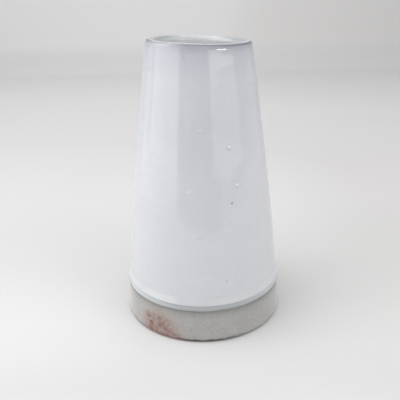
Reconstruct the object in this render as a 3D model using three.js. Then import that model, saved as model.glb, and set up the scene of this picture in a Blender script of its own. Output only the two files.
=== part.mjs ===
// A small bud vase: a tapered, slightly bellied stoneware pot with a bare foot band, a liner glaze
// inside and two dipped glaze coats outside. The second coat stops a little above the first and
// ends in a rolled edge.
// Millimetres, +Z up. The origin is on the vase's axis, on the plane that the foot rests on.

import * as THREE from 'three';

// Outside of the fired clay
const CLAY_HEIGHT = 127.4;
const LIP_RADIUS = 22.3;
const FOOT_RADIUS = 37.3;

// Leans from upright, in degrees: of the foot band, of the wall above the shoulder and at the lip
const BAND_LEAN = 2.2;
const WALL_BASE_LEAN = 4.6;
const LIP_LEAN = 7.6;

// Bare foot band, the shelf above it that only the first coat covers, and the shoulder that steps
// in to the wall
const BAND_HEIGHT = 15.6;
const SHELF_HEIGHT = 2.4;
const SHELF_INSET = 0.6;
const SHOULDER_HEIGHT = 3.9;
const SHOULDER_INSET = 1.13;
const SHOULDER_EASE = 1.3;

// Clay thickness at the lip, at the foot of the bore and in the floor
const LIP_THICKNESS = 3.5;
const BASE_THICKNESS = 5.8;
const FLOOR_THICKNESS = 6.5;

// Rounds
const LIP_OUTER_ROUND = 1.2;
const CROWN_WIDTH = 0.6;
const FLOOR_ROUND = 9;
const ARRIS_ROUND = 0.8;

// Hollow turned into the underside, which leaves a flat foot ring to rest on
const FOOT_RING_WIDTH = 7;
const HOLLOW_DEPTH = 1.2;
const HOLLOW_FLANK = 1.5;

// Glazes
const LINER_THICKNESS = 0.5;
const FIRST_COAT_THICKNESS = 0.2;
const SECOND_COAT_THICKNESS = 0.4;
const EDGE_ROLL_THICKNESS = 0.5;
const FIRST_EDGE_ROUND = 0.5;
const SECOND_EDGE_ROUND = 0.7;
const LIP_BREAK = 0.15;

// Facets round the axis
const FACETS = 56;

const lean = (degrees) => Math.tan(THREE.MathUtils.degToRad(degrees));
const at = (radius, height) => new THREE.Vector2(radius, height);

// An arc of a half section, its angles in degrees from straight outwards.
function arc(centre, radius, from, to) {
  const [start, end] = [from, to].map(THREE.MathUtils.degToRad);
  return new THREE.EllipseCurve(centre.x, centre.y, radius, radius, start, end, to < from);
}

// A line from one point to another that leaves and arrives at a given lean. Its handles divide the
// height in three, so it is even in height.
function bellied(low, lowLean, high, highLean) {
  const third = (high.y - low.y) / 3;
  const lowHandle = at(low.x - third * lean(lowLean), low.y + third);
  const highHandle = at(high.x + third * lean(highLean), high.y - third);
  return new THREE.CubicBezierCurve(low, lowHandle, highHandle, high);
}

// The half section of the clay, as curves that follow each other from the foot over the lip to the
// middle of the floor. Each curve has the number of steps that it is cut into.

const ringEdge = at(FOOT_RADIUS - ARRIS_ROUND, ARRIS_ROUND);
const bandFoot = at(FOOT_RADIUS, ARRIS_ROUND);
const bandTop = at(FOOT_RADIUS - BAND_HEIGHT * lean(BAND_LEAN), BAND_HEIGHT);
const shelfTop = at(bandTop.x - SHELF_INSET, bandTop.y + SHELF_HEIGHT);
const wallFoot = at(shelfTop.x - SHOULDER_INSET, shelfTop.y + SHOULDER_HEIGHT);

const lipHeight = CLAY_HEIGHT - LIP_OUTER_ROUND;
const lipRise = LIP_OUTER_ROUND * Math.sin(THREE.MathUtils.degToRad(LIP_LEAN));
const lipReach = LIP_OUTER_ROUND * Math.cos(THREE.MathUtils.degToRad(LIP_LEAN));
const wallTop = at(LIP_RADIUS, lipHeight + lipRise);
const outerCentre = at(wallTop.x - lipReach, lipHeight);
const crownEdge = at(outerCentre.x, CLAY_HEIGHT);
const crownSeam = at(crownEdge.x - CROWN_WIDTH / 2, CLAY_HEIGHT);

const innerRound = LIP_THICKNESS - LIP_OUTER_ROUND - CROWN_WIDTH;
const innerCentre = at(crownEdge.x - CROWN_WIDTH, CLAY_HEIGHT - innerRound);
const boreLip = arc(innerCentre, innerRound, 90, 180 + LIP_LEAN).getPoint(1);

const floorTop = HOLLOW_DEPTH + FLOOR_THICKNESS;
const boreFoot = at(wallFoot.x - BASE_THICKNESS, floorTop + FLOOR_ROUND);
const floorCentre = at(boreFoot.x - FLOOR_ROUND, boreFoot.y);

const arris = { curve: arc(ringEdge, ARRIS_ROUND, -90, 0), steps: 3 };
const band = { curve: new THREE.LineCurve(bandFoot, bandTop), steps: 1 };
const shelf = { curve: new THREE.LineCurve(bandTop, shelfTop), steps: 2, crowding: 1.6 };
const shoulder = {
  curve: new THREE.CubicBezierCurve(
    shelfTop,
    at(shelfTop.x - SHOULDER_EASE * (SHELF_INSET / SHELF_HEIGHT), shelfTop.y + SHOULDER_EASE),
    at(wallFoot.x + SHOULDER_EASE * lean(WALL_BASE_LEAN), wallFoot.y - SHOULDER_EASE),
    wallFoot,
  ),
  steps: 5,
  crowding: 1.6,
};
const wall = { curve: bellied(wallFoot, WALL_BASE_LEAN, wallTop, LIP_LEAN), steps: 6 };
const lipOuter = { curve: arc(outerCentre, LIP_OUTER_ROUND, LIP_LEAN, 90), steps: 3 };
const crownOuter = { curve: new THREE.LineCurve(crownEdge, crownSeam), steps: 1 };
const crownInner = {
  curve: new THREE.LineCurve(crownSeam, at(innerCentre.x, CLAY_HEIGHT)),
  steps: 1,
};
const lipInner = { curve: arc(innerCentre, innerRound, 90, 180 + LIP_LEAN), steps: 3 };
const bore = { curve: bellied(boreFoot, 0, boreLip, LIP_LEAN), steps: 5, downwards: true };
const floorRound = { curve: arc(floorCentre, FLOOR_ROUND, 0, -90), steps: 4 };
const floor = {
  curve: new THREE.LineCurve(at(floorCentre.x, floorTop), at(0, floorTop)),
  steps: 1,
};

// Points of one stretch of the clay's half section, moved out from the clay by the thickness of
// what covers it there. A crowded stretch has more of its points near its start.
function trace({ curve, steps, crowding = 1, downwards = false }, thickness) {
  const points = [];
  for (let i = 0; i <= steps; i += 1) {
    const along = (i / steps) ** crowding;
    const t = downwards ? 1 - along : along;
    const point = curve.getPoint(t);
    const tangent = curve.getTangent(t).multiplyScalar(downwards ? -1 : 1);
    const off = thickness(point, t);
    points.push(at(point.x + tangent.y * off, point.y - tangent.x * off));
  }
  return points;
}

// Stretches joined end to end. The end of each is left out where the next one starts.
function outline(stretches, thickness) {
  return stretches.flatMap((stretch, i) => {
    const points = trace(stretch, thickness(stretch));
    return i < stretches.length - 1 ? points.slice(0, -1) : points;
  });
}

// How full a coat is at a height above its lower edge, where it is rounded off.
function roundedEdge(height, round) {
  const short = 1 - THREE.MathUtils.clamp(height / round, 0, 1);
  return Math.sqrt(1 - short * short);
}

// Thickness over each stretch of the clay, as a function of the point on the clay.

const bare = () => () => 0;

const linerGlaze = () => () => LINER_THICKNESS;

const firstCoat = () => (point) =>
  FIRST_COAT_THICKNESS * roundedEdge(point.y - bandTop.y, FIRST_EDGE_ROUND);

// The second coat hangs in a roll over the shoulder and draws back from the lip's outer round.
const bothCoats = (stretch) => (point, t) => {
  const first = firstCoat(stretch)(point);
  if (stretch === shoulder) {
    const roll = THREE.MathUtils.lerp(EDGE_ROLL_THICKNESS, SECOND_COAT_THICKNESS, t * t);
    return first + roll * roundedEdge(point.y - shelfTop.y, SECOND_EDGE_ROUND);
  }
  const drawnBack = stretch === lipOuter ? LIP_BREAK * Math.sin(Math.PI * t) : 0;
  return first + SECOND_COAT_THICKNESS - drawnBack;
};

// A named solid of revolution about +Z from its half section.
function turned(name, points, material) {
  const geometry = new THREE.LatheGeometry(points, FACETS);
  geometry.rotateX(Math.PI / 2);
  const mesh = new THREE.Mesh(geometry, material);
  mesh.name = name;
  return mesh;
}

// A coat between two surfaces that run along the same stretches: out along its face and back along
// what it lies on, closed on itself.
function coat(stretches, under, over) {
  const face = outline(stretches, over);
  const back = outline(stretches, under).reverse();
  return [...face, ...back, face[0].clone()];
}

const dipped = [shoulder, wall, lipOuter, crownOuter];
const poured = [crownInner, lipInner, bore, floorRound, floor];

const stoneware = new THREE.MeshStandardMaterial({ color: '#a39f99', roughness: 0.85, metalness: 0 });
const whiteGlaze = new THREE.MeshStandardMaterial({ color: '#dfe1e4', roughness: 0.18, metalness: 0 });
const thinGlaze = new THREE.MeshStandardMaterial({ color: '#b9bcbd', roughness: 0.25, metalness: 0 });

function clayBody() {
  const ringInside = FOOT_RADIUS - FOOT_RING_WIDTH;
  const underside = [
    at(0, HOLLOW_DEPTH),
    at(ringInside - HOLLOW_FLANK, HOLLOW_DEPTH),
    at(ringInside, 0),
  ];
  const skin = outline([arris, band, shelf, ...dipped, ...poured], bare);
  return turned('clay_body', [...underside, ...skin], stoneware);
}

function linerGlazeSkin() {
  const face = outline(poured, linerGlaze);
  const back = outline(poured, bare).reverse();
  return turned('liner_glaze', [...back, ...face], whiteGlaze);
}

function firstGlazeCoat() {
  return turned('first_glaze_coat', coat([shelf, ...dipped], bare, firstCoat), thinGlaze);
}

function secondGlazeCoat() {
  return turned('second_glaze_coat', coat(dipped, firstCoat, bothCoats), whiteGlaze);
}

const vase = new THREE.Group();
vase.name = 'bud_vase';
vase.add(clayBody(), linerGlazeSkin(), firstGlazeCoat(), secondGlazeCoat());

export default vase;
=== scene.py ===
import math
from collections import namedtuple

import bpy
from mathutils import Matrix, Vector


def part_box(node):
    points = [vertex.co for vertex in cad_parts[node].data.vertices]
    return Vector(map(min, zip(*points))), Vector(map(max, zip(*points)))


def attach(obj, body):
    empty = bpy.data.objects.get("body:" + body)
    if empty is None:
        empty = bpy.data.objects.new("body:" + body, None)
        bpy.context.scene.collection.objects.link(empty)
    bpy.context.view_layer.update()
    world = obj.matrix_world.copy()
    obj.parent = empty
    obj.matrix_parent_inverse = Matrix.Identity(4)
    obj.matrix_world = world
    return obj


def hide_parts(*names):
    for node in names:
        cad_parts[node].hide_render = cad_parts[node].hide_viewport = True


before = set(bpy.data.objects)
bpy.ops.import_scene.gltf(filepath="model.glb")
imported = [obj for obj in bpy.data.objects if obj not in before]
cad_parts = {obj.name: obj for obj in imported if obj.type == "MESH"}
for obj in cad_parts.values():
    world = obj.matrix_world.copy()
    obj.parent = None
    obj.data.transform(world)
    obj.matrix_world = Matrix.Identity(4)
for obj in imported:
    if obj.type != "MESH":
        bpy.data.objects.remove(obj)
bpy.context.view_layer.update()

# Clay body
# The pot itself: one thrown and fired piece of fine grey stoneware, wall, floor and foot in one.
# It is thrown on the wheel, turned when leather hard to a straight foot band with a step above it,
# and hollowed a little underneath. Only the foot band and the underside stay bare.

MM = 0.001

FOOT_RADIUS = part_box("clay_body")[1].x
CLAY_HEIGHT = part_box("clay_body")[1].z
BAND_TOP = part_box("first_glaze_coat")[0].z
SHELF_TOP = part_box("second_glaze_coat")[0].z
FLOOR_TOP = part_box("liner_glaze")[0].z
BORE_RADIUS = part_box("liner_glaze")[1].x

BAND_LEAN = 2.2
WALL_BASE_LEAN = 4.6
LIP_LEAN = 7.6

SHELF_INSET = 0.6 * MM
SHOULDER_HEIGHT = 3.9 * MM
SHOULDER_INSET = 1.13 * MM
SHOULDER_EASE = 1.3 * MM

LIP_RADIUS = 22.3 * MM
LIP_THICKNESS = 3.5 * MM
LIP_OUTER_ROUND = 1.2 * MM
CROWN_WIDTH = 0.6 * MM
FLOOR_ROUND = 9 * MM

ARRIS_ROUND = 1.2 * MM
RING_WIDTH = 7 * MM
RING_EDGE_ROUND = 0.3 * MM
HOLLOW_DEPTH = 1.2 * MM
HOLLOW_FLANK = 1.5 * MM

# The lip isn't quite level: it dips from left to right, over this much of the side and the height.
LIP_DIP = {
    "Dip Depth": 1.5 * MM,
    "Dip Start": -21 * MM,
    "Dip End": 24 * MM,
    "Dip Foot": CLAY_HEIGHT - 15 * MM,
    "Dip Top": CLAY_HEIGHT,
}

Stretch = namedtuple("Stretch", "curve steps crowding", defaults=[1])
Knot = namedtuple("Knot", "radius height relief")


def lean(degrees):
    return math.tan(math.radians(degrees))


def at(radius, height):
    return Vector((radius, height))


def line(start, end):
    return lambda t: start.lerp(end, t)


def arc(centre, radius, start, end):
    """A round stretch of a half section, its angles in degrees from straight outwards."""
    def curve(t):
        angle = math.radians(start + (end - start) * t)
        return centre + radius * at(math.cos(angle), math.sin(angle))
    return curve


def cubic(start, leave, arrive, end):
    def curve(t):
        s = 1 - t
        return s ** 3 * start + 3 * s * s * t * leave + 3 * s * t * t * arrive + t ** 3 * end
    return curve


def bellied(start, start_lean, end, end_lean):
    """A line that leaves and arrives at a given lean from upright, even in height."""
    third = (end.y - start.y) / 3
    leave = at(start.x - third * lean(start_lean), start.y + third)
    arrive = at(end.x + third * lean(end_lean), end.y - third)
    return cubic(start, leave, arrive, end)


def none(part, t, point):
    return 0


def outline(stretches, thickness=none, relief=none):
    """Knots of a half section along stretches of the clay, each moved out by what covers the clay.
    The end of a stretch is left out where the next one starts."""
    knots = []
    for k, part in enumerate(stretches):
        closing = 1 if k == len(stretches) - 1 else 0
        for i in range(part.steps + closing):
            t = (i / part.steps) ** part.crowding
            point = part.curve(t)
            way = part.curve(min(t + 1e-4, 1)) - part.curve(max(t - 1e-4, 0))
            face = point + at(way.y, -way.x).normalized() * thickness(part, t, point)
            knots.append(Knot(face.x, face.y, relief(part, t, point)))
    return knots


def hidden(stretches):
    """The same stretches with a fifth of the steps, for faces that something covers."""
    return [part._replace(steps=max(2, part.steps // 5)) for part in stretches]


band_foot = at(FOOT_RADIUS, ARRIS_ROUND)
band_top = at(FOOT_RADIUS - BAND_TOP * lean(BAND_LEAN), BAND_TOP)
shelf_top = at(band_top.x - SHELF_INSET, SHELF_TOP)
shelf_slope = SHELF_INSET / (SHELF_TOP - BAND_TOP)
wall_foot = at(shelf_top.x - SHOULDER_INSET, SHELF_TOP + SHOULDER_HEIGHT)

lip_angle = math.radians(LIP_LEAN)
wall_top = at(LIP_RADIUS, CLAY_HEIGHT - LIP_OUTER_ROUND * (1 - math.sin(lip_angle)))
outer_centre = at(
    LIP_RADIUS - LIP_OUTER_ROUND * math.cos(lip_angle), CLAY_HEIGHT - LIP_OUTER_ROUND
)
crown_edge = at(outer_centre.x, CLAY_HEIGHT)
crown_seam = at(crown_edge.x - CROWN_WIDTH / 2, CLAY_HEIGHT)
inner_round = LIP_THICKNESS - LIP_OUTER_ROUND - CROWN_WIDTH
inner_centre = at(crown_edge.x - CROWN_WIDTH, CLAY_HEIGHT - inner_round)

bore_foot = at(BORE_RADIUS, FLOOR_TOP + FLOOR_ROUND)
floor_centre = at(BORE_RADIUS - FLOOR_ROUND, bore_foot.y)
ring_centre = at(FOOT_RADIUS - ARRIS_ROUND, ARRIS_ROUND)
flank_top = at(FOOT_RADIUS - RING_WIDTH - HOLLOW_FLANK, HOLLOW_DEPTH)
flank_foot = at(FOOT_RADIUS - RING_WIDTH, RING_EDGE_ROUND)
ring_inside = at(flank_foot.x + 2 * RING_EDGE_ROUND, 0)

hollow = Stretch(line(at(0, HOLLOW_DEPTH), flank_top), 14)
hollow_flank = Stretch(line(flank_top, flank_foot), 4)
ring_edge = Stretch(
    cubic(flank_foot, flank_foot.lerp(ring_inside, 0.3), at(flank_foot.x, 0), ring_inside), 5
)
ring = Stretch(line(ring_inside, at(ring_centre.x, 0)), 4)
arris = Stretch(arc(ring_centre, ARRIS_ROUND, -90, 0), 10)
band = Stretch(line(band_foot, band_top), 24)
shelf = Stretch(line(band_top, shelf_top), 16, 2)
shoulder = Stretch(
    cubic(
        shelf_top,
        at(shelf_top.x - SHOULDER_EASE * shelf_slope, shelf_top.y + SHOULDER_EASE),
        at(wall_foot.x + SHOULDER_EASE * lean(WALL_BASE_LEAN), wall_foot.y - SHOULDER_EASE),
        wall_foot,
    ),
    26,
    2,
)
wall = Stretch(bellied(wall_foot, WALL_BASE_LEAN, wall_top, LIP_LEAN), 176)
lip_outer = Stretch(arc(outer_centre, LIP_OUTER_ROUND, LIP_LEAN, 90), 14)
crown_outer = Stretch(line(crown_edge, crown_seam), 2)
crown_inner = Stretch(line(crown_seam, at(inner_centre.x, CLAY_HEIGHT)), 2)
lip_inner = Stretch(arc(inner_centre, inner_round, 90, 180 + LIP_LEAN), 14)
bore = Stretch(bellied(lip_inner.curve(1), LIP_LEAN, bore_foot, 0), 120)
floor_round = Stretch(arc(floor_centre, FLOOR_ROUND, 0, -90), 16)
floor = Stretch(line(at(floor_centre.x, FLOOR_TOP), at(0, FLOOR_TOP)), 18)

underside = [hollow, hollow_flank, ring_edge, ring]
dipped = [shoulder, wall, lip_outer, crown_outer]
poured = [crown_inner, lip_inner, bore, floor_round, floor]

MATH = "ShaderNodeMath"
VECTOR_MATH = "ShaderNodeVectorMath"
MIX = "ShaderNodeMix"

# A map range's inputs are a value, where its change starts and ends, and what the node gives at
# these, which is 0 and 1 unless it is said. The change is even, or eased with the settings below.
MAP_RANGE = "ShaderNodeMapRange"
EASED = {"interpolation_type": "SMOOTHSTEP"}


def add(tree, kind, inputs=(), **settings):
    """Adds a node with its settings, and gives its outputs. The inputs are a list, or named or
    numbered in a dictionary. Each is a value, or the output that it is linked to."""
    node = tree.nodes.new(kind)
    for name, value in settings.items():
        setattr(node, name, value)
    for key, value in inputs.items() if isinstance(inputs, dict) else enumerate(inputs):
        if isinstance(value, bpy.types.NodeSocket):
            tree.links.new(value, node.inputs[key])
        else:
            node.inputs[key].default_value = value
    return node.outputs


def lip_drop(tree, spot, dip):
    """How far the lip's dip lowers a spot. The dip's sizes are values, or outputs that give them."""
    side = add(tree, MAP_RANGE, [spot["X"], dip["Dip Start"], dip["Dip End"]], **EASED)[0]
    upper = add(tree, MAP_RANGE, [spot["Z"], dip["Dip Foot"], dip["Dip Top"]], **EASED)[0]
    share = add(tree, MATH, [side, upper], operation="MULTIPLY")[0]
    return add(tree, MATH, [share, dip["Dip Depth"]], operation="MULTIPLY")[0]


# The wheel turns the knots of a half section about the axis. It also gives the surface the slight
# unevenness of a thrown pot, as much of it as each knot's relief allows.

wheel = bpy.data.node_groups.new("turned_on_the_wheel", "GeometryNodeTree")
wheel.interface.new_socket("Half Section", in_out="INPUT", socket_type="NodeSocketGeometry")
wheel.interface.new_socket("Turned", in_out="OUTPUT", socket_type="NodeSocketGeometry")
WHEEL_INPUTS = {
    label: wheel.interface.new_socket(label, in_out="INPUT", socket_type=kind).identifier
    for label, kind in (
        ("Knots", "NodeSocketInt"),
        ("Facets", "NodeSocketInt"),
        ("Ring Pitch", "NodeSocketFloat"),
        ("Ring Depth", "NodeSocketFloat"),
        ("Wander Span", "NodeSocketFloat"),
        ("Wander Depth", "NodeSocketFloat"),
        ("Bumps per Area", "NodeSocketFloat"),
        ("Bump Radius", "NodeSocketFloat"),
        ("Bump Height", "NodeSocketFloat"),
        ("Chosen Bumps", "NodeSocketObject"),
        *[(label, "NodeSocketFloat") for label in LIP_DIP],
        ("Seed", "NodeSocketInt"),
        ("Material", "NodeSocketMaterial"),
    )
}
WELD = 0.0005 * MM
TURN = 2 * math.pi

# The rings' mean depth as a share of the given one, the relief that scattered bumps need, and the
# smallest bump as a share of the given size
MEAN_RINGS = 0.3
BUMPY_RELIEF = 0.9
SMALLEST_BUMP = 0.4


def build_wheel(tree):
    given = add(tree, "NodeGroupInput")

    # A sheet with a column for each facet and a row for each knot is rolled up into the body.
    columns = add(tree, MATH, [given["Facets"], 1], operation="ADD")[0]
    sizes = {"Vertices X": columns, "Vertices Y": given["Knots"]}
    body = add(tree, "GeometryNodeMeshGrid", sizes)["Mesh"]
    place = add(tree, "GeometryNodeInputPosition")[0]
    flat = add(tree, "ShaderNodeSeparateXYZ", [place])
    angle = add(tree, MATH, [flat["X"], TURN, math.pi], operation="MULTIPLY_ADD")[0]
    last = add(tree, MATH, [given["Knots"], 1], operation="SUBTRACT")[0]
    row = add(tree, MATH, [flat["Y"], 0.5], operation="ADD")[0]
    row = add(tree, MATH, [row, last], operation="MULTIPLY")[0]
    row = add(tree, MATH, [row], operation="ROUND")[0]
    relief = add(tree, "GeometryNodeInputNamedAttribute", {"Name": "relief"})[0]
    sampled = {}
    for label, value, kind in (("place", place, "FLOAT_VECTOR"), ("relief", relief, "FLOAT")):
        knots = {"Geometry": given["Half Section"], "Value": value, "Index": row}
        sampled[label] = add(tree, "GeometryNodeSampleIndex", knots, data_type=kind)[0]
    knot = add(tree, "ShaderNodeSeparateXYZ", [sampled["place"]])
    cosine = add(tree, MATH, [angle], operation="COSINE")[0]
    sine = add(tree, MATH, [angle], operation="SINE")[0]
    x = add(tree, MATH, [knot["X"], cosine], operation="MULTIPLY")[0]
    y = add(tree, MATH, [knot["X"], sine], operation="MULTIPLY")[0]
    rolled = add(tree, "ShaderNodeCombineXYZ", [x, y, knot["Z"]])[0]
    kept = {"Geometry": body, "Name": "relief", "Value": sampled["relief"]}
    body = add(tree, "GeometryNodeStoreNamedAttribute", kept)[0]
    body = add(tree, "GeometryNodeSetPosition", {"Geometry": body, "Position": rolled})[0]
    body = add(tree, "GeometryNodeMergeByDistance", {"Geometry": body, "Distance": WELD})[0]

    # Throwing rings climb in a spiral, a pitch each turn, and fade in and out along the way.
    spot = add(tree, "ShaderNodeSeparateXYZ", [place])
    spans = add(tree, MATH, [1, given["Wander Span"]], operation="DIVIDE")[0]
    noise = {"Vector": place, "W": given["Seed"], "Scale": spans, "Detail": 1}
    slow = add(tree, "ShaderNodeTexNoise", noise, noise_dimensions="4D")["Fac"]
    slow = add(tree, MATH, [slow, 0.5], operation="SUBTRACT")[0]
    around = add(tree, MATH, [spot["Y"], spot["X"]], operation="ARCTAN2")[0]
    around = add(tree, MATH, [around, TURN], operation="DIVIDE")[0]
    climb = add(tree, MATH, [spot["Z"], given["Ring Pitch"]], operation="DIVIDE")[0]
    climb = add(tree, MATH, [climb, around], operation="ADD")[0]
    climb = add(tree, MATH, [climb, slow], operation="ADD")[0]
    climb = add(tree, MATH, [climb, TURN], operation="MULTIPLY")[0]
    wave = add(tree, MATH, [climb], operation="SINE")[0]
    fading = add(tree, MATH, [slow, MEAN_RINGS], operation="ADD")[0]
    depth = add(tree, MATH, [fading, given["Ring Depth"]], operation="MULTIPLY")[0]
    rings = add(tree, MATH, [wave, depth], operation="MULTIPLY")[0]
    uneven = add(tree, MATH, [slow, given["Wander Depth"], rings], operation="MULTIPLY_ADD")[0]

    # Small bumps show where a bubble healed or a grain of grog lies under the glaze.
    scatter = {
        "Mesh": body,
        "Selection": add(tree, MATH, [relief, BUMPY_RELIEF], operation="GREATER_THAN")[0],
        "Density": given["Bumps per Area"],
        "Seed": given["Seed"],
    }
    scattered = add(tree, "GeometryNodeDistributePointsOnFaces", scatter)["Points"]
    chosen = add(tree, "GeometryNodeObjectInfo", {"Object": given["Chosen Bumps"]})["Geometry"]
    chosen = add(tree, "GeometryNodeMeshToPoints", {"Mesh": chosen})[0]
    bumps = add(tree, "GeometryNodeJoinGeometry")[0]
    for points in (scattered, chosen):
        tree.links.new(points, bumps.node.inputs[0])
    away = add(tree, "GeometryNodeProximity", [bumps], target_element="POINTS")["Distance"]
    nearest = add(tree, "GeometryNodeSampleNearest", {"Geometry": bumps}, domain="POINT")[0]
    drawn = {"ID": nearest, "Seed": given["Seed"]}
    size = add(tree, "FunctionNodeRandomValue", drawn, data_type="FLOAT")[1]
    size = add(tree, MATH, [size, 1 - SMALLEST_BUMP, SMALLEST_BUMP], operation="MULTIPLY_ADD")[0]
    reach = add(tree, MATH, [size, given["Bump Radius"]], operation="MULTIPLY")[0]
    share = add(tree, MATH, [away, reach], operation="DIVIDE")[0]
    share = add(tree, MATH, [share, 1], operation="MINIMUM")[0]
    share = add(tree, MATH, [share, share], operation="MULTIPLY")[0]
    dome = add(tree, MATH, [1, share], operation="SUBTRACT")[0]
    dome = add(tree, MATH, [dome, 2], operation="POWER")[0]
    height = add(tree, MATH, [size, given["Bump Height"]], operation="MULTIPLY")[0]

    lift = add(tree, MATH, [dome, height, uneven], operation="MULTIPLY_ADD")[0]
    lift = add(tree, MATH, [lift, relief], operation="MULTIPLY")[0]
    normal = add(tree, "GeometryNodeInputNormal")[0]
    offset = add(tree, VECTOR_MATH, {0: normal, "Scale": lift}, operation="SCALE")[0]
    body = add(tree, "GeometryNodeSetPosition", {"Geometry": body, "Offset": offset})[0]
    down = add(tree, MATH, [lip_drop(tree, spot, given), -1], operation="MULTIPLY")[0]
    offset = add(tree, "ShaderNodeCombineXYZ", {"Z": down})[0]
    body = add(tree, "GeometryNodeSetPosition", {"Geometry": body, "Offset": offset})[0]
    body = add(tree, "GeometryNodeSetShadeSmooth", {"Geometry": body})[0]
    body = add(tree, "GeometryNodeRealizeInstances", {"Geometry": body})[0]
    finished = {"Geometry": body, "Material": given["Material"]}
    body = add(tree, "GeometryNodeSetMaterial", finished)[0]
    add(tree, "NodeGroupOutput", {"Turned": body})


build_wheel(wheel)


def turned(name, knots, inputs):
    """A closed body of revolution from its half section, as a plain mesh."""
    mesh = bpy.data.meshes.new(name)
    mesh.from_pydata([(knot.radius, 0, knot.height) for knot in knots], [], [])
    relief = mesh.attributes.new("relief", "FLOAT", "POINT")
    relief.data.foreach_set("value", [knot.relief for knot in knots])
    piece = bpy.data.objects.new(name, mesh)
    bpy.context.scene.collection.objects.link(piece)
    modifier = piece.modifiers.new("turned_on_the_wheel", "NODES")
    modifier.node_group = wheel
    for label, value in {"Knots": len(knots), **LIP_DIP, **inputs}.items():
        modifier[WHEEL_INPUTS[label]] = value
    evaluated = piece.evaluated_get(bpy.context.evaluated_depsgraph_get())
    piece.data = bpy.data.meshes.new_from_object(evaluated)
    piece.modifiers.remove(modifier)
    return piece


def beside_front(azimuth, radius, height):
    """The point at an azimuth from the front, in degrees to the right, at a radius and a height."""
    turn = math.radians(azimuth)
    return Vector((radius * math.sin(turn), -radius * math.cos(turn), height))


def linear(code):
    """A colour written as sRGB hex, as the linear values that nodes take."""
    channels = [int(code[i:i + 2], 16) / 255 for i in (1, 3, 5)]
    straight = [c / 12.92 if c <= 0.04045 else ((c + 0.055) / 1.055) ** 2.4 for c in channels]
    return (*straight, 1)


def started(name):
    """A new material, its node tree and its shader's inputs, with the spot on the object as a
    vector and as its three coordinates."""
    material = bpy.data.materials.new(name)
    material.use_nodes = True
    tree = material.node_tree
    place = add(tree, "ShaderNodeTexCoord")["Object"]
    spot = add(tree, "ShaderNodeSeparateXYZ", [place])
    return material, tree, tree.nodes["Principled BSDF"].inputs, place, spot


# Sockets of a colour Mix node
SHARE, FIRST, SECOND, MIXED = 0, 6, 7, 2


def cloudy(tree, place, size, detail=2):
    """Noise whose clouds are about as large as the size."""
    noise = {"Vector": place, "Scale": 1 / size, "Detail": detail}
    return add(tree, "ShaderNodeTexNoise", noise)["Fac"]


def up_the_pot(tree, height, colours):
    """Colours that change up the pot, each given at its height above the table."""
    low, high = colours[0][0], colours[-1][0]
    along = add(tree, MAP_RANGE, [height, low, high])[0]
    ramp = add(tree, "ShaderNodeValToRGB", [along])["Color"]
    points = ramp.node.color_ramp.elements
    points[0].color = linear(colours[0][1])
    points[-1].color = linear(colours[-1][1])
    for level, code in colours[1:-1]:
        points.new((level - low) / (high - low)).color = linear(code)
    return ramp


def specks(tree, place, pitch, radius, share):
    """Where grains lie, at a pitch in every direction, of which only a share shows. Each is solid
    out to half its radius."""
    cells = add(tree, "ShaderNodeTexVoronoi", {"Vector": place, "Scale": 1 / pitch})
    drawn = add(tree, "ShaderNodeSeparateColor", [cells["Color"]])[0]
    shown = add(tree, MATH, [drawn, share], operation="LESS_THAN")[0]
    edge = [cells["Distance"], radius / pitch, 0.5 * radius / pitch]
    grain = add(tree, MAP_RANGE, edge, **EASED)[0]
    return add(tree, MATH, [grain, shown], operation="MULTIPLY")[0]


def by_distance(tree, place, point, start, end, low=0, high=1, **settings):
    """A value that goes from low to high as the distance from a point goes from start to end."""
    away = add(tree, VECTOR_MATH, [place, point], operation="DISTANCE")["Value"]
    return add(tree, MAP_RANGE, [away, start, end, low, high], **settings)[0]


# The clay's greys in clouds, blotches and grain, each with its size and its share of the tone, and
# the grog, each kind with its colour, pitch and radius.
CLAY_DARK = "#7d7c79"
CLAY_PALE = "#c8c7c5"
CLOUD_SIZE, CLOUD_SHARE = 12 * MM, 0.25
BLOTCH_SIZE, BLOTCH_SHARE = 3.5 * MM, 0.25
GRAIN_SIZE, GRAIN_SHARE = 0.7 * MM, 0.5
GRAIN_DEPTH = 0.06 * MM
GROG = [("#6f6a64", 1.6 * MM, 0.32 * MM), ("#cdcac4", 1.9 * MM, 0.3 * MM)]
GROG_SHOWN = 0.35
GROG_STRENGTH = 0.7
TURNING_LINE_SIZE = 30 * MM
TURNING_LINE_SQUEEZE = 50
TURNING_LINE_DEPTH = 0.6
LEAST_MATT, MOST_MATT = 0.75, 0.95

# What the glaze's edge does to the clay below it, at heights above the table that waver a little:
# partly a stain that the glaze carries into the clay, partly painted shade under the edge
GLAZE_SOAK_AND_SHADE = [
    (BAND_TOP - 4 * MM, "#ffffff"),
    (BAND_TOP - 2 * MM, "#f2f2f2"),
    (BAND_TOP - 1 * MM, "#e6e6e5"),
    (BAND_TOP, "#cfcfce"),
]
SOAK_WAVER = 1.5 * MM

# The foot's outer arris is dark: partly burnt by the flame, partly painted shade under the arris next
# to the table. The mark runs from a height down to one where it is full, and from a radius out to
# another. It is darkest about an azimuth, less between two distances from there, and this much all
# round.
BURNT_AND_SHADED_CLAY = "#473b37"
BURN_TOP, BURN_FULL = 2 * MM, 1.1 * MM
BURN_INSIDE, BURN_RIM = FOOT_RADIUS - 2.2 * MM, FOOT_RADIUS - 1.2 * MM
FLAME_AZIMUTH = -17
FLAME_REACH = (36 * MM, 13 * MM)
FLAME_LEAST = 0.25

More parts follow.
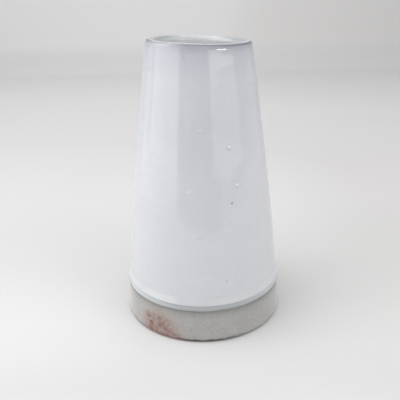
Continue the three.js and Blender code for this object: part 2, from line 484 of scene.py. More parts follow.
# The dab of iron oxide: brush strokes, each with the azimuth of its middle from the front, its height
# above the table, its slant in degrees, and half its length and width. The values below count in
# those halves: the brush's hairs and a fringe fray the ends and sides, and the edge fades.
OXIDE = "#7c5549"
DAB_STROKES = [
    (-32, 2.2 * MM, 5, 12 * MM, 2.2 * MM),
    (-36, 5.6 * MM, 8, 9 * MM, 2.1 * MM),
    (-38.5, 8.7 * MM, 4, 6 * MM, 1.8 * MM),
]
STROKE_DEPTH = 20 * MM
HAIR_STRETCH = (1.2, 0.5, 3.5)
HAIR_FRAY = 0.9
HAIR_GAP, HAIR_FULL, HAIR_LEAST = 0.35, 0.6, 0.15
FRINGE_SIZE = 0.25
FRINGE_FRAY = 0.8
EDGE_END, EDGE_FULL = 1.5, 1.15

# The pink flash and the thin wash about the dab: the distances over which they fade, their
# strength, and how the wash breaks up. The oxide stays on the band's face, off the underside.
FLASHED_CLAY = "#b39a90"
DAB_AZIMUTH = -34.5
FLASH_REACH = (17 * MM, 6 * MM)
WASH_REACH = (13 * MM, 4 * MM)
HALO_STRENGTH = 0.8
WASH_SIZE = 1.8 * MM
WASH_GAP, WASH_FULL, WASH_LEAST = 0.35, 0.65, 0.4
DAB_INSIDE, DAB_FACE = FOOT_RADIUS - 4 * MM, FOOT_RADIUS - 1.5 * MM


def oxide_dab(tree, place):
    """How strongly the oxide of the brushed dab covers the clay."""
    covered = 0
    for azimuth, height, slant, half_length, half_width in DAB_STROKES:
        stroke = {
            "Vector": place,
            "Location": beside_front(azimuth, FOOT_RADIUS, height),
            "Rotation": (0, math.radians(slant), math.radians(azimuth)),
            "Scale": (half_length, STROKE_DEPTH, half_width),
        }
        local = add(tree, "ShaderNodeMapping", stroke, vector_type="TEXTURE")[0]
        hairs = add(tree, VECTOR_MATH, [local, HAIR_STRETCH], operation="MULTIPLY")[0]
        hairs = cloudy(tree, hairs, 1, 1)
        fringe = cloudy(tree, local, FRINGE_SIZE)
        span = add(tree, "ShaderNodeSeparateXYZ", [local])
        along = add(tree, MATH, [span["X"]], operation="ABSOLUTE")[0]
        along = add(tree, MATH, [hairs, HAIR_FRAY, along], operation="MULTIPLY_ADD")[0]
        across = add(tree, MATH, [span["Z"]], operation="ABSOLUTE")[0]
        across = add(tree, MATH, [fringe, FRINGE_FRAY, across], operation="MULTIPLY_ADD")[0]
        edge = add(tree, MATH, [along, across], operation="MAXIMUM")[0]
        inside = add(tree, MAP_RANGE, [edge, EDGE_END, EDGE_FULL])[0]
        front = add(tree, MATH, [span["Y"], 1, 1], operation="COMPARE")[0]
        streaks = add(tree, MAP_RANGE, [hairs, HAIR_GAP, HAIR_FULL, HAIR_LEAST])[0]
        laid = add(tree, MATH, [inside, front], operation="MULTIPLY")[0]
        laid = add(tree, MATH, [laid, streaks], operation="MULTIPLY")[0]
        covered = add(tree, MATH, [laid, covered], operation="MAXIMUM")[0]
    return covered


def clay_material():
    """Stoneware fired without glaze, turned with a metal tool and sponged. Its sandy grain scatters
    light evenly, so it is matt, with soft clouds, grog specks and faint turning lines. The grain is
    0.3 mm in the clay, and drawn about twice as coarse, because a finer one wouldn't show."""
    material, tree, shader, place, spot = started("fired_grey_stoneware")
    across = add(tree, VECTOR_MATH, [place, (1, 1, 0)], operation="MULTIPLY")[0]
    radius = add(tree, VECTOR_MATH, [across], operation="LENGTH")["Value"]

    clouds = cloudy(tree, place, CLOUD_SIZE, 3)
    blotches = cloudy(tree, place, BLOTCH_SIZE)
    grain = cloudy(tree, place, GRAIN_SIZE)
    tone = 0
    for noise, share in ((clouds, CLOUD_SHARE), (blotches, BLOTCH_SHARE), (grain, GRAIN_SHARE)):
        tone = add(tree, MATH, [noise, share, tone], operation="MULTIPLY_ADD")[0]
    greys = {SHARE: tone, FIRST: linear(CLAY_DARK), SECOND: linear(CLAY_PALE)}
    colour = add(tree, MIX, greys, data_type="RGBA")[MIXED]
    for code, pitch, size in GROG:
        grog = specks(tree, place, pitch, size, GROG_SHOWN)
        grog = add(tree, MATH, [grog, GROG_STRENGTH], operation="MULTIPLY")[0]
        speckled = {SHARE: grog, FIRST: colour, SECOND: linear(code)}
        colour = add(tree, MIX, speckled, data_type="RGBA")[MIXED]

    # The clay is darker below the glaze's edge: partly a stain that the glaze's water carries down
    # into it, partly painted shade under the edge.
    waver = add(tree, MATH, [blotches, SOAK_WAVER, -SOAK_WAVER / 2], operation="MULTIPLY_ADD")[0]
    level = add(tree, MATH, [spot["Z"], waver], operation="ADD")[0]
    soaked_and_shaded = {SHARE: 1, FIRST: colour, SECOND: up_the_pot(tree, level, GLAZE_SOAK_AND_SHADE)}
    colour = add(tree, MIX, soaked_and_shaded, data_type="RGBA", blend_type="MULTIPLY")[MIXED]

    # The foot's outer arris is darkened brown, most of all at the front: partly the kiln's flame
    # burn, partly painted shade under the arris.
    low = add(tree, MAP_RANGE, [level, BURN_TOP, BURN_FULL], **EASED)[0]
    rim = add(tree, MAP_RANGE, [radius, BURN_INSIDE, BURN_RIM], **EASED)[0]
    burnt_and_shaded = add(tree, MATH, [low, rim], operation="MULTIPLY")[0]
    middle = beside_front(FLAME_AZIMUTH, FOOT_RADIUS, 0)
    licked = by_distance(tree, place, middle, *FLAME_REACH, low=FLAME_LEAST, **EASED)
    burnt_and_shaded = add(tree, MATH, [burnt_and_shaded, licked], operation="MULTIPLY")[0]
    burnt_and_shaded = {SHARE: burnt_and_shaded, FIRST: colour, SECOND: linear(BURNT_AND_SHADED_CLAY)}
    colour = add(tree, MIX, burnt_and_shaded, data_type="RGBA")[MIXED]

    # The oxide flashes the clay about it a faint pink.
    dab_middle = beside_front(DAB_AZIMUTH, FOOT_RADIUS, DAB_STROKES[0][1])
    flash = by_distance(tree, place, dab_middle, *FLASH_REACH, high=HALO_STRENGTH, **EASED)
    flash = add(tree, MATH, [flash, blotches], operation="MULTIPLY")[0]
    pink = {SHARE: flash, FIRST: colour, SECOND: linear(FLASHED_CLAY)}
    colour = add(tree, MIX, pink, data_type="RGBA")[MIXED]
    wash = by_distance(tree, place, dab_middle, *WASH_REACH, high=HALO_STRENGTH, **EASED)
    dab = add(tree, MATH, [oxide_dab(tree, place), wash], operation="MAXIMUM")[0]
    broken = cloudy(tree, place, WASH_SIZE)
    broken = add(tree, MAP_RANGE, [broken, WASH_GAP, WASH_FULL, WASH_LEAST])[0]
    dab = add(tree, MATH, [dab, broken], operation="MULTIPLY")[0]
    outer = add(tree, MAP_RANGE, [radius, DAB_INSIDE, DAB_FACE], **EASED)[0]
    dab = add(tree, MATH, [dab, outer], operation="MULTIPLY")[0]
    dabbed = {SHARE: dab, FIRST: colour, SECOND: linear(OXIDE)}
    colour = add(tree, MIX, dabbed, data_type="RGBA")[MIXED]
    tree.links.new(colour, shader["Base Color"])

    matt = add(tree, MAP_RANGE, [grain, 0, 1, LEAST_MATT, MOST_MATT])[0]
    tree.links.new(matt, shader["Roughness"])
    shader["Sheen Weight"].default_value = 0.75
    shader["Sheen Roughness"].default_value = 0.4

    # Turning lines run round the pot, so their noise changes fast with height and radius alone.
    height = add(tree, MATH, [spot["Z"], radius], operation="ADD")[0]
    height = add(tree, MATH, [height, TURNING_LINE_SQUEEZE], operation="MULTIPLY")[0]
    drawn_round = add(tree, "ShaderNodeCombineXYZ", [spot["X"], spot["Y"], height])[0]
    lines = cloudy(tree, drawn_round, TURNING_LINE_SIZE, 1)
    rough = add(tree, MATH, [lines, TURNING_LINE_DEPTH, grain], operation="MULTIPLY_ADD")[0]
    bump = {"Height": rough, "Distance": GRAIN_DEPTH, "Strength": 1}
    tree.links.new(add(tree, "ShaderNodeBump", bump)[0], shader["Normal"])
    return material


def band_relief(part, t, point):
    """The band is trimmed true, so it is only a little uneven, and even at its ends."""
    return math.sin(math.pi * t) if part is band else 0


clay = turned(
    "stoneware_pot",
    outline([*underside, arris, band, *hidden([shelf, *dipped, *poured])], none, band_relief),
    {
        "Facets": 320,
        "Ring Pitch": 2.6 * MM,
        "Ring Depth": 0.02 * MM,
        "Wander Span": 25 * MM,
        "Wander Depth": 0.08 * MM,
        "Seed": 3,
        "Material": clay_material(),
    },
)
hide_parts("clay_body")
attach(clay, "root")

# Liner glaze
# White glaze poured in, swirled round and poured out again, fused to the inside of the pot.
# It runs from the crown of the lip down the bore and over the floor.

LINER_THICKNESS = 0.5 * MM
OUTER_THICKNESS = 0.6 * MM
RIM = CLAY_HEIGHT + OUTER_THICKNESS

# Sizes of the clouds and faint level streaks in the glaze's white, and the white without them
MOTTLE_SIZE = 9 * MM
CURDLE_SIZE = 2.4 * MM
STREAK_SIZE = 12 * MM
STREAK_SQUEEZE = (1, 1, 6)
EVEN_WHITE = 0.94


def liner(part, t, point):
    """As thick as the outer coats where it meets them on the crown."""
    if part is crown_inner:
        return OUTER_THICKNESS + (LINER_THICKNESS - OUTER_THICKNESS) * t
    return LINER_THICKNESS


def liner_relief(part, t, point):
    """Full in the bore, but for a twelfth of it at each end."""
    if part is bore:
        return min(1, 12 * t, 12 * (1 - t))
    return 0


def mottled(tree, colour, place):
    """Glaze that is a little thicker or thinner from place to place, so its white is uneven, also
    in faint level streaks, where it lies over the ridges of throwing."""
    level = add(tree, VECTOR_MATH, [place, STREAK_SQUEEZE], operation="MULTIPLY")[0]
    uneven = EVEN_WHITE
    for where, size, strength in (
        (place, MOTTLE_SIZE, 0.04),
        (place, CURDLE_SIZE, 0.05),
        (level, STREAK_SIZE, 0.03),
    ):
        clouds = cloudy(tree, where, size)
        uneven = add(tree, MATH, [clouds, strength, uneven], operation="MULTIPLY_ADD")[0]
    mixed = {SHARE: 1, FIRST: colour, SECOND: uneven}
    return add(tree, MIX, mixed, data_type="RGBA", blend_type="MULTIPLY")[MIXED]


RIPPLE_DEPTH = 0.02 * MM
LEAST_HAZE, MOST_HAZE = 0.03, 0.08
DRY_ROUGHNESS = 0.5


def glassy(tree, shader, place, dryness=0, pimples=0):
    """The gloss of a melted glaze: clear and even, with the shallow ripple of a surface that flowed
    before it froze. Where it is dry it is satin. Pimples are given in depths of the ripple."""
    haze = cloudy(tree, place, MOTTLE_SIZE)
    haze = add(tree, MAP_RANGE, [haze, 0, 1, LEAST_HAZE, MOST_HAZE])[0]
    haze = add(tree, MATH, [dryness, DRY_ROUGHNESS, haze], operation="MULTIPLY_ADD")[0]
    tree.links.new(haze, shader["Roughness"])
    shader["IOR"].default_value = 1.5
    height = add(tree, MATH, [cloudy(tree, place, CURDLE_SIZE, 0), pimples], operation="ADD")[0]
    ripple = {"Height": height, "Distance": RIPPLE_DEPTH, "Strength": 1}
    tree.links.new(add(tree, "ShaderNodeBump", ripple)[0], shader["Normal"])


# The liner's whites: whitest down in the bore, and darker up over the lip's inner round, partly
# thinner glaze, partly painted shade at the top of the bore. The sides of the bore are painted
# greyer, painted shade where its walls face sideways.
LINER_WHITES_AND_SHADE = [
    (RIM - 3 * MM, "#f3f4f4"),
    (RIM - 2 * MM, "#e9eaea"),
    (RIM - 1.5 * MM, "#dadcdd"),
    (RIM - 1 * MM, "#c6c8ca"),
    (RIM - 0.5 * MM, "#b9bbbe"),
    (RIM, "#c2c4c7"),
]
BORE_SIDE_SHADE = "#d8dadc"
BORE_SHADE_START, BORE_SHADE_END = 8 * MM, 20 * MM


def liner_material():
    """White tin-and-zircon glaze poured inside: thick, glossy and a little uneven. It is painted
    whiter than outside, painted light for the light that the walls throw on each other, and painted
    greyer at the sides of the bore, painted shade."""
    material, tree, shader, place, spot = started("poured_white_glaze")
    level = add(tree, MATH, [spot["Z"], lip_drop(tree, spot, LIP_DIP)], operation="ADD")[0]
    # Painted shade: the bore is greyer towards its left and right sides.
    side = add(tree, MATH, [spot["X"]], operation="ABSOLUTE")[0]
    side = add(tree, MAP_RANGE, [side, BORE_SHADE_END, BORE_SHADE_START])[0]
    shaded_sides = {SHARE: side, FIRST: linear(BORE_SIDE_SHADE), SECOND: linear("#ffffff")}
    shaded_sides = add(tree, MIX, shaded_sides, data_type="RGBA")[MIXED]
    whites = {SHARE: 1, FIRST: up_the_pot(tree, level, LINER_WHITES_AND_SHADE), SECOND: shaded_sides}
    whites = add(tree, MIX, whites, data_type="RGBA", blend_type="MULTIPLY")[MIXED]
    tree.links.new(mottled(tree, whites, place), shader["Base Color"])
    glassy(tree, shader, place)
    return material


liner_face = outline(poured, liner, liner_relief)
liner_back = outline(hidden(poured))
liner_piece = turned(
    "poured_liner",
    [*reversed(liner_back), *liner_face],
    {
        "Facets": 192,
        "Ring Pitch": 6 * MM,
        "Ring Depth": 0.3 * MM,
        "Wander Span": 30 * MM,
        "Wander Depth": 0.2 * MM,
        "Seed": 11,
        "Material": liner_material(),
    },
)
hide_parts("liner_glaze")
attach(liner_piece, "root")

# First glaze coat
# The first dip: the pot is held by its foot and dipped mouth down, to the step above the band.
# It is thin, so the clay greys it, and only its lowest 2 or 3 mm show below the second coat.

FIRST_THICKNESS = 0.2 * MM
FIRST_EDGE_ROUND = 0.5 * MM

# From the clay up to the second coat: the feathered edge, the coat at its fullest, and a painted
# shadow under the second coat's rolled edge.
THIN_GLAZE_TINTS_AND_SHADOW = [
    (BAND_TOP, "#787876"),
    (BAND_TOP + 0.3 * MM, "#8b8c8a"),
    (BAND_TOP + 0.8 * MM, "#a1a4a4"),
    (BAND_TOP + 1.4 * MM, "#adb1b2"),
    (BAND_TOP + 2 * MM, "#aeb3b6"),
    (SHELF_TOP, "#a3aaaf"),
]
TINT_WAVER_SIZE = 5 * MM
TINT_WAVER = 0.5 * MM

# Away from the thin front, over these distances, and above the edge, the coat is thicker and paler.
THICKER_GLAZE = "#c9cdce"
THIN_FRONT_AZIMUTH = 6
THIN_FRONT_REACH = (12 * MM, 40 * MM)
THICKER_START, THICKER_FULL = BAND_TOP + 0.3 * MM, BAND_TOP + 1.4 * MM


def rounded_edge(height, round_height):
    """How full a coat is at a height above its lower edge, where it is rounded off."""
    short = 1 - min(max(height / round_height, 0), 1)
    return math.sqrt(1 - short * short)


def first_coat(part, t, point):
    return FIRST_THICKNESS * rounded_edge(point.y - BAND_TOP, FIRST_EDGE_ROUND)


def thin_glaze_material():
    """One thin dip of white glaze that the grey clay shows through, so it looks blue-grey. It is
    thinnest at the front, and paler where the dip left more. Along its top it is painted darker, a
    painted shadow under the second coat's edge."""
    material, tree, shader, place, spot = started("thin_glaze_over_clay")
    waver = cloudy(tree, place, TINT_WAVER_SIZE)
    level = add(tree, MATH, [waver, TINT_WAVER, spot["Z"]], operation="MULTIPLY_ADD")[0]
    level = add(tree, MATH, [level, TINT_WAVER / 2], operation="SUBTRACT")[0]
    # The top of these tints is a painted shadow under the second coat's roll.
    tints = up_the_pot(tree, level, THIN_GLAZE_TINTS_AND_SHADOW)
    front = beside_front(THIN_FRONT_AZIMUTH, FOOT_RADIUS, BAND_TOP)
    thicker = by_distance(tree, place, front, *THIN_FRONT_REACH)
    fuller = add(tree, MAP_RANGE, [level, THICKER_START, THICKER_FULL], **EASED)[0]
    thicker = add(tree, MATH, [thicker, fuller], operation="MULTIPLY")[0]
    covered = {SHARE: thicker, FIRST: tints, SECOND: linear(THICKER_GLAZE)}
    colour = add(tree, MIX, covered, data_type="RGBA")[MIXED]
    tree.links.new(mottled(tree, colour, place), shader["Base Color"])
    glassy(tree, shader, place)
    return material


def coat(stretches, under, over, relief=none):
    """A coat's half section: up its face and back along what it lies on."""
    face = outline(stretches, over, relief)
    back = outline(hidden(stretches), under)
    return [*face, *reversed(back), face[0]]


first_piece = turned(
    "first_dipped_coat",
    coat([shelf, *hidden(dipped)], none, first_coat),
    {
        "Facets": 320,
        "Ring Pitch": 5 * MM,
        "Wander Span": 30 * MM,
        "Seed": 5,
        "Material": thin_glaze_material(),
    },
)
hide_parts("first_glaze_coat")
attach(first_piece, "root")

# Second glaze coat
# The second dip, a thicker glossy white with a blue cast that stops short of the first. Its lower
# edge hangs in a roll over the step. On the lip it draws thin and breaks to a grey line.

SECOND_THICKNESS = 0.4 * MM
EDGE_ROLL_THICKNESS = 0.5 * MM
SECOND_EDGE_ROUND = 0.7 * MM
LIP_BREAK = 0.15 * MM


def both_coats(part, t, point):
    first = first_coat(part, t, point)
    if part is shoulder:
        roll = EDGE_ROLL_THICKNESS + (SECOND_THICKNESS - EDGE_ROLL_THICKNESS) * t * t
        return first + roll * rounded_edge(point.y - SHELF_TOP, SECOND_EDGE_ROUND)
    drawn_back = LIP_BREAK * math.sin(math.pi * t) if part is lip_outer else 0
    return first + SECOND_THICKNESS - drawn_back


def coat_relief(part, t, point):
    """Full on the wall, but for its last fortieth, and growing over the shoulder."""
    if part is shoulder:
        return t * t
    if part is wall:
        return min(1, 40 * (1 - t))
    return 0


def on_the_wall(azimuth, height):
    """The point of the glazed wall at an azimuth from the front and a height."""
    t = (height - wall_foot.y) / (wall_top.y - wall_foot.y)
    return beside_front(azimuth, wall.curve(t).x + OUTER_THICKNESS, height)


# The white of the coat at heights above the table. It is thickest and whitest low on the wall.
DIPPED_WHITES = [
    (SHELF_TOP, "#ccced2"),
    (SHELF_TOP + 2.5 * MM, "#cdcfd3"),
    (SHELF_TOP + 5 * MM, "#d2d3d8"),
    (45 * MM, "#d3d4d9"),
    (70 * MM, "#d1d3d8"),
    (90 * MM, "#cccfd4"),
    (RIM - 1 * MM, "#cdd0d5"),
    (RIM, "#e2e4e7"),
]

# What is left of the glaze's white where it thins over the lip, at heights above the table. The
# thinnest is a line along the outer arris, where the clay greys it most.
LIP_BREAK_TINTS = [
    (RIM - 15 * MM, "#ffffff"),
    (RIM - 7 * MM, "#f5f5f7"),
    (RIM - 4.5 * MM, "#f2f2f4"),
    (RIM - 3.2 * MM, "#e9eaec"),
    (RIM - 2.2 * MM, "#e2e3e5"),
    (RIM - 1.3 * MM, "#ced0d4"),
    (RIM - 0.85 * MM, "#a8a5ab"),
    (RIM - 0.4 * MM, "#8f8c92"),
    (RIM - 0.2 * MM, "#c4c4c8"),
    (RIM - 0.05 * MM, "#f6f7f8"),
    (RIM, "#ffffff"),
]
LIP_WAVER_SIZE = 6 * MM
LIP_WAVER = 1.2 * MM
WAVER_START, WAVER_FULL = RIM - 1 * MM, RIM - 4 * MM

# Towards the left, between these two places, the thin line rises this much.
LINE_RISE = 0.2 * MM
RISE_START, RISE_END = -6 * MM, -15 * MM

# At an azimuth a thick run covers the lip as well as the wall. It fades between two distances from
# its middle, where this much of the thinning is left.
THICK_RUN_AZIMUTH = -43
THICK_RUN_REACH = (2.875 * MM, 11.5 * MM)
THICK_RUN_THINNING = 0.62

# Between these tints, where the glaze is thinnest, its surface turns dry.
GLOSSY_TINT, DRY_TINT = 0.6, 0.25

# The bumps and the dark specks that face the front, each as an azimuth in degrees and a height,
# and the specks with their radius and how dark they are. Fainter ones are scattered all over.
CHOSEN_BUMPS = [
    (-1, 94 * MM),
    (-9.5, 69 * MM),
    (29, 70.5 * MM),
    (-3, 50 * MM),
    (23.5, 86.5 * MM),
]
CHOSEN_SPECKS = [
    (23.5, 63.5 * MM, 0.6 * MM, 0.8),
    (-15, 122.5 * MM, 0.5 * MM, 0.3),
    (-58, 117 * MM, 0.6 * MM, 0.25),
    (16.5, 29 * MM, 0.5 * MM, 0.35),
    (55.5, 110 * MM, 0.6 * MM, 0.2),
]
IRON_SPECK = "#4d4a4a"
SPECK_CORE = 0.3
SPECK_PITCH = 7 * MM
SPECK_RADIUS = 0.3 * MM
SPECK_SHARE = 0.4
SPECK_DARKNESS = 0.15
PIMPLE_RADIUS = 1.2 * MM
PIMPLE_HEIGHT = 0.24 * MM


def broken_at_the_lip(tree, place, spot):
    """What is left of the white where the glaze draws thin over the lip."""
    run = beside_front(THICK_RUN_AZIMUTH, LIP_RADIUS, RIM)
    thin = by_distance(tree, place, run, *THICK_RUN_REACH, low=THICK_RUN_THINNING, **EASED)
    waver = cloudy(tree, place, LIP_WAVER_SIZE)
    waver = add(tree, MATH, [waver, LIP_WAVER, -LIP_WAVER / 2], operation="MULTIPLY_ADD")[0]
    fade = add(tree, MAP_RANGE, [spot["Z"], WAVER_START, WAVER_FULL])[0]
    level = add(tree, MATH, [waver, fade, spot["Z"]], operation="MULTIPLY_ADD")[0]
    level = add(tree, MATH, [level, lip_drop(tree, spot, LIP_DIP)], operation="ADD")[0]
    rise = add(tree, MAP_RANGE, [spot["X"], RISE_START, RISE_END, 0, LINE_RISE], **EASED)[0]
    level = add(tree, MATH, [level, rise], operation="SUBTRACT")[0]
    tints = up_the_pot(tree, level, LIP_BREAK_TINTS)
    broken = {SHARE: thin, FIRST: linear("#ffffff"), SECOND: tints}
    return add(tree, MIX, broken, data_type="RGBA")[MIXED]


def dipped_material():
    """White glaze dipped outside, fired glossy: opaque with a blue cast, softly mottled, with a few
    iron specks and pinholes, whiter where it is thick and broken to grey over the lip."""
    material, tree, shader, place, spot = started("dipped_white_glaze")
    colour = mottled(tree, up_the_pot(tree, spot["Z"], DIPPED_WHITES), place)
    tint = broken_at_the_lip(tree, place, spot)
    thinned = {SHARE: 1, FIRST: colour, SECOND: tint}
    colour = add(tree, MIX, thinned, data_type="RGBA", blend_type="MULTIPLY")[MIXED]
    marks = specks(tree, place, SPECK_PITCH, SPECK_RADIUS, SPECK_SHARE)
    marks = add(tree, MATH, [marks, SPECK_DARKNESS], operation="MULTIPLY")[0]
    for azimuth, level, radius, darkness in CHOSEN_SPECKS:
        middle = on_the_wall(azimuth, level)
        mark = by_distance(tree, place, middle, radius, SPECK_CORE * radius, high=darkness)
        marks = add(tree, MATH, [marks, mark], operation="MAXIMUM")[0]
    speckled = {SHARE: marks, FIRST: colour, SECOND: linear(IRON_SPECK)}
    colour = add(tree, MIX, speckled, data_type="RGBA")[MIXED]
    tree.links.new(colour, shader["Base Color"])

    # Each chosen bump has a small steep pimple on top, which catches a glint.
    pimples = 0
    for azimuth, level in CHOSEN_BUMPS:
        dome = by_distance(tree, place, on_the_wall(azimuth, level), PIMPLE_RADIUS, 0, **EASED)
        pimples = add(tree, MATH, [dome, pimples], operation="MAXIMUM")[0]
    depths = PIMPLE_HEIGHT / RIPPLE_DEPTH
    pimples = add(tree, MATH, [pimples, depths], operation="MULTIPLY")[0]
    dry = add(tree, MAP_RANGE, [tint, GLOSSY_TINT, DRY_TINT])[0]
    glassy(tree, shader, place, dry, pimples)
    return material


bump_mesh = bpy.data.meshes.new("chosen_bumps")
bump_mesh.from_pydata([on_the_wall(azimuth, height) for azimuth, height in CHOSEN_BUMPS], [], [])
bump_points = bpy.data.objects.new("chosen_bumps", bump_mesh)

second_piece = turned(
    "second_dipped_coat",
    coat(dipped, first_coat, both_coats, coat_relief),
    {
        "Facets": 320,
        "Ring Pitch": 5.5 * MM,
        "Ring Depth": 0.03 * MM,
        "Wander Span": 35 * MM,
        "Wander Depth": 0.2 * MM,
        "Bumps per Area": 3000,
        "Bump Radius": 1.3 * MM,
        "Bump Height": 0.09 * MM,
        "Chosen Bumps": bump_points,
        "Seed": 7,
        "Material": dipped_material(),
    },
)
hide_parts("second_glaze_coat")
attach(second_piece, "root")

# Floor and backdrop
# A pale matt table top that runs back to a pale wall, joined by a small cove. In the glaze's
# reflections it ends a quarter of a metre in front, where the room between the lamps is dark.

WALL_DISTANCE = 797 * MM
COVE_RADIUS = 60 * MM
COVE_STEPS = 12
WALL_HEIGHT = 1500 * MM
STAGE_REACH = 2500 * MM
WALL_COLOUR = "#ebebeb"

# A painted reflection of the dark room that the glaze mirrors: glossy rays alone see the table dark
# beyond its front, as many degrees to either side of a middle azimuth, all with a little blur
DARK_ROOM_REFLECTION = "#101012"
TABLE_FRONT = -255 * MM
TABLE_FRONT_BLUR = 6 * MM
GAP_AZIMUTH = -4
GAP_HALF = 35
GAP_BLUR = 2

# Painted shade: towards the right, table and wall are painted dimmer. Painted light: the table is
# painted paler far behind the vase, sooner on the right, but less so.
PAINTED_SIDE_SHADE = "#f9f8f7"
SIDE_START = 30 * MM
SIDE_END = 130 * MM
FAR_TABLE_PAINTED_LIGHT = "#dad9da"
FAR_TABLE_START = 290 * MM
FAR_TABLE_END = 520 * MM
SIDE_LEAD = 80 * MM
SIDE_LOSS = 0.2

# The table's tones from front to back, with painted light: a little brighter at the vase's front and
# again behind it
TABLE_TONES_AND_LIGHT = [
    (-64 * MM, "#cdcdcd"),
    (-40 * MM, "#d2d2d2"),
    (-20 * MM, "#d3d3d3"),
    (5 * MM, "#d0d0d0"),
    (35 * MM, "#cdcdcd"),
    (70 * MM, "#cdcdcd"),
    (130 * MM, "#d1d0d1"),
]


def paper_material():
    """Matt white paper without grain at this distance. Its colour is not even: it holds painted light
    and shade.
    """
    material, tree, shader, place, spot = started("pale_matt_paper")
    # The wall's tone takes over from the table's up the cove.
    climb = add(tree, MAP_RANGE, [spot["Z"], 0, COVE_RADIUS], **EASED)[0]
    # Painted light: the table's tones are brighter at the vase's front and behind it.
    table = up_the_pot(tree, spot["Y"], TABLE_TONES_AND_LIGHT)
    papers = {SHARE: climb, FIRST: table, SECOND: linear(WALL_COLOUR)}
    paper = add(tree, MIX, papers, data_type="RGBA")[MIXED]

    # Painted shade: the paper darkens towards the right.
    side = add(tree, MAP_RANGE, [spot["X"], SIDE_START, SIDE_END], **EASED)[0]
    side_shade = {SHARE: side, FIRST: paper, SECOND: linear(PAINTED_SIDE_SHADE)}
    paper = add(tree, MIX, side_shade, data_type="RGBA", blend_type="MULTIPLY")[MIXED]
    # Painted light: the table is paler far behind the vase.
    back = add(tree, MATH, [side, SIDE_LEAD, spot["Y"]], operation="MULTIPLY_ADD")[0]
    back = add(tree, MAP_RANGE, [back, FAR_TABLE_START, FAR_TABLE_END])[0]
    level = add(tree, MATH, [1, climb], operation="SUBTRACT")[0]
    far = add(tree, MATH, [back, level], operation="MULTIPLY")[0]
    kept = add(tree, MATH, [side, -SIDE_LOSS, 1], operation="MULTIPLY_ADD")[0]
    far = add(tree, MATH, [far, kept], operation="MULTIPLY")[0]
    floors = {SHARE: far, FIRST: paper, SECOND: linear(FAR_TABLE_PAINTED_LIGHT)}
    paper = add(tree, MIX, floors, data_type="RGBA")[MIXED]

    ahead = add(tree, MATH, [spot["Y"], -1], operation="MULTIPLY")[0]
    azimuth = add(tree, MATH, [spot["X"], ahead], operation="ARCTAN2")[0]
    azimuth = add(tree, MATH, [azimuth], operation="DEGREES")[0]
    off = add(tree, MATH, [azimuth, GAP_AZIMUTH], operation="SUBTRACT")[0]
    off = add(tree, MATH, [off], operation="ABSOLUTE")[0]
    gap = add(tree, MAP_RANGE, [off, GAP_HALF + GAP_BLUR, GAP_HALF - GAP_BLUR], **EASED)[0]
    front = [spot["Y"], TABLE_FRONT + TABLE_FRONT_BLUR, TABLE_FRONT - TABLE_FRONT_BLUR]
    front = add(tree, MAP_RANGE, front, **EASED)[0]
    dark = add(tree, MATH, [front, gap], operation="MULTIPLY")[0]
    # Painted reflection: only glossy rays see the dark room on the table.
    glossy_ray = add(tree, "ShaderNodeLightPath")["Is Glossy Ray"]
    dark = add(tree, MATH, [glossy_ray, dark], operation="MULTIPLY")[0]
    seen = {SHARE: dark, FIRST: paper, SECOND: linear(DARK_ROOM_REFLECTION)}
    colour = add(tree, MIX, seen, data_type="RGBA")[MIXED]
    tree.links.new(colour, shader["Base Color"])
    shader["Roughness"].default_value = 0.9
    shader["Specular IOR Level"].default_value = 0.1
    return material


cove_centre = at(WALL_DISTANCE - COVE_RADIUS, COVE_RADIUS)
cove = arc(cove_centre, COVE_RADIUS, -90, 0)
sweep_line = [
    at(-STAGE_REACH, 0),
    *[cove(i / COVE_STEPS) for i in range(COVE_STEPS + 1)],
    at(WALL_DISTANCE, WALL_HEIGHT),
]
sweep_mesh = bpy.data.meshes.new("floor_and_wall")
sweep_mesh.from_pydata(
    [(side * STAGE_REACH, point.x, point.y) for point in sweep_line for side in (-1, 1)],
    [],
    [(2 * i, 2 * i + 1, 2 * i + 3, 2 * i + 2) for i in range(len(sweep_line) - 1)],
)
sweep_mesh.shade_smooth()
sweep_mesh.materials.append(paper_material())
sweep = bpy.data.objects.new("floor_and_wall", sweep_mesh)
bpy.context.scene.collection.objects.link(sweep)

# Light
# Soft studio light: panels on the left are the key, one at the front right glows along its top with
# a hotter centre, and one hangs overhead. The room behind the camera stays dark between left and
# right, and shows in the glaze.


def softbox(name, place, aim, width, height, radiance):
    """A lit panel that faces a point. A radiance of 1 is as bright as white paper."""
    data = bpy.data.lights.new(name, "AREA")
    data.shape = "RECTANGLE"
    data.size = width
    data.size_y = height
    data.energy = radiance * math.pi * width * height
    lamp = bpy.data.objects.new(name, data)
    lamp.location = place
    lamp.visible_camera = False
    lamp.rotation_euler = (aim - lamp.location).to_track_quat("-Z", "Y").to_euler()
    bpy.context.scene.collection.objects.link(lamp)


# Upright panels that face the vase's axis, sizes in metres: azimuth from the front, distance, height
# of the lower edge above the table, width, height and radiance
UPRIGHT_PANELS = {
    "left_side_panel": (-80, 0.3, 0, 0.52, 0.45, 0.62),
    "left_front_panel": (-69, 0.7, 0, 0.8, 0.7, 1.04),
    "right_front_panel": (46, 0.45, 0.03, 0.46, 0.19, 1.1),
    "right_side_panel": (100, 0.4, 0, 0.4, 0.4, 0.34),
    "right_panel_glow": (46, 0.44, 0.173, 0.4, 0.045, 1.4),
    "right_panel_hot_centre": (47, 0.43, 0.192, 0.16, 0.04, 14),
}
for name, (azimuth, distance, foot, width, height, radiance) in UPRIGHT_PANELS.items():
    middle = foot + height / 2
    place = beside_front(azimuth, distance, middle)
    softbox(name, place, Vector((0, 0, middle)), width, height, radiance)

softbox("left_upper_panel", Vector((-0.5, 0.1, 0.75)), Vector((0, 0, 0.05)), 0.5, 0.8, 1.25)
softbox("overhead_panel", Vector((0, 0.03, 0.9)), Vector((0, 0.03, 0)), 0.9, 0.9, 1.7)

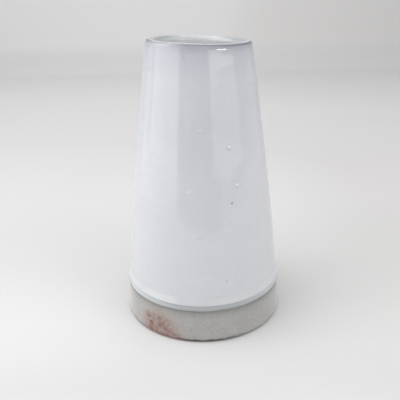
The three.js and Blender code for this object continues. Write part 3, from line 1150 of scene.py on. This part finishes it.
ZENITH_FILL = 0.73
BACKGROUND = "#d6d6d6"
AWAY_START, AWAY_FULL = 0.4, 0.6


def light_world(tree):
    """The ceiling fills from above. The camera, and reflections that look past the wall, see a pale
    background, but reflections of the camera's side see the dark room."""
    way = add(tree, "ShaderNodeTexCoord")["Generated"]
    way = add(tree, "ShaderNodeSeparateXYZ", [way])
    upwards = add(tree, MATH, [way["Z"], 0], operation="MAXIMUM")[0]
    ceiling = add(tree, MATH, [upwards, ZENITH_FILL], operation="MULTIPLY")[0]
    behind = add(tree, MAP_RANGE, [way["Y"], AWAY_START, AWAY_FULL], **EASED)[0]
    ray = add(tree, "ShaderNodeLightPath")
    seen = add(tree, MATH, [ray["Is Glossy Ray"], behind], operation="MULTIPLY")[0]
    for kind in ("Is Camera Ray", "Is Transmission Ray"):
        seen = add(tree, MATH, [ray[kind], seen], operation="MAXIMUM")[0]
    views = {SHARE: seen, FIRST: ceiling, SECOND: linear(BACKGROUND)}
    colour = add(tree, MIX, views, data_type="RGBA")[MIXED]
    tree.links.new(colour, tree.nodes["Background"].inputs["Color"])


world = bpy.data.worlds.new("studio")
world.use_nodes = True
light_world(world.node_tree)
bpy.context.scene.world = world

# Camera
# It looks down at the vase from close by. Its place, angles and focal length were fitted to the
# vase's outline in the photograph.

CAMERA_PLACE = Vector((-0.85, -234.3, 148.3)) * MM
CAMERA_PITCH = 21.97
CAMERA_ROLL = 1.22
FOCAL_PIXELS = 532.6
PICTURE_PIXELS = 400

camera_data = bpy.data.cameras.new("camera")
camera_data.lens = camera_data.sensor_width * FOCAL_PIXELS / PICTURE_PIXELS
camera_data.clip_start = 10 * MM
camera = bpy.data.objects.new("camera", camera_data)
tilt = Matrix.Rotation(math.radians(90 - CAMERA_PITCH), 4, "X")
roll = Matrix.Rotation(math.radians(-CAMERA_ROLL), 4, "Z")
camera.matrix_world = Matrix.Translation(CAMERA_PLACE) @ tilt @ roll
bpy.context.scene.collection.objects.link(camera)
bpy.context.scene.camera = camera
bpy.context.scene.view_settings.view_transform = "Standard"
